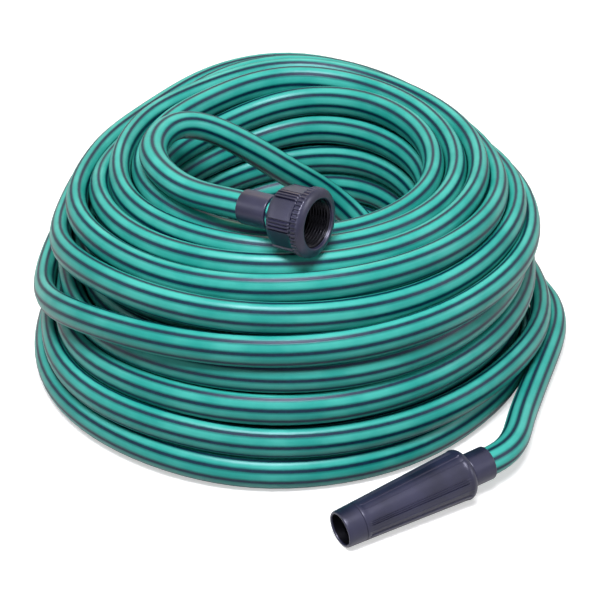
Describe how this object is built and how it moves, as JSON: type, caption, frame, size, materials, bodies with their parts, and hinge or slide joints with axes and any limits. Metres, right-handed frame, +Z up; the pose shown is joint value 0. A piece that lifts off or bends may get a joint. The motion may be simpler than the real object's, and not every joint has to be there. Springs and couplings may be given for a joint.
{
  "type": "garden hose coil",
  "caption": "Striped flexible garden hose wound in a barrel-shaped pile, with a swivelling threaded tap connector at one end and an adjustable twist nozzle at the other.",
  "frame": {"origin": "on the floor, under the middle of the bounding box", "axes": "+Z up; the nozzle lies along -X in front of the pile, on the -Y side; the axis of the pile is 20.9 mm behind the origin along +Y and 4.7 mm to its left along -X"},
  "size_m": [0.3275, 0.3599, 0.1729],
  "materials": {
    "hose": "soft glossy vinyl, teal with dark stripes along its length",
    "fitting": "satin moulded",
    "seal": "matte"
  },
  "bodies": {
    "hose": {"hose_inner_turns": "hose", "hose_coil": "hose", "hose_tap_run": "hose", "hose_nozzle_run": "hose", "hose_tap_end": "hose", "hose_nozzle_end": "hose", "tap_ferrule": "fitting", "tap_tail": "fitting", "nozzle_ferrule": "fitting", "nozzle_stem": "fitting", "nozzle_stem_seal": "seal", "nozzle_tip_seal": "seal"},
    "swivel_nut": {"tap_nut": "fitting", "tap_washer": "seal"},
    "wiper": {"nozzle_wiper_ring": "seal"},
    "barrel": {"nozzle_barrel": "fitting", "nozzle_nose": "fitting"}
  },
  "joints": [
    {"name": "nut_swivel", "type": "hinge", "parent": "hose", "child": "swivel_nut", "pos_m": [-0.0745, -0.0487, 0.1489], "axis": [0.4203, -0.9013, 0.1045], "continuous": true},
    {"name": "barrel_travel", "type": "slide", "parent": "hose", "child": "wiper", "axis": [-0.9986, 0, -0.0536], "range_m": [0, 0.006]},
    {"name": "barrel_twist", "type": "hinge", "parent": "wiper", "child": "barrel", "pos_m": [0.0121, -0.1656, 0.0158], "axis": [-0.9986, 0, -0.0536], "range_deg": [0, 540]}
  ],
  "couplings": [
    {"joint": "barrel_travel", "follows": "barrel_twist", "m_per_rad": 0.00063661}
  ]
}
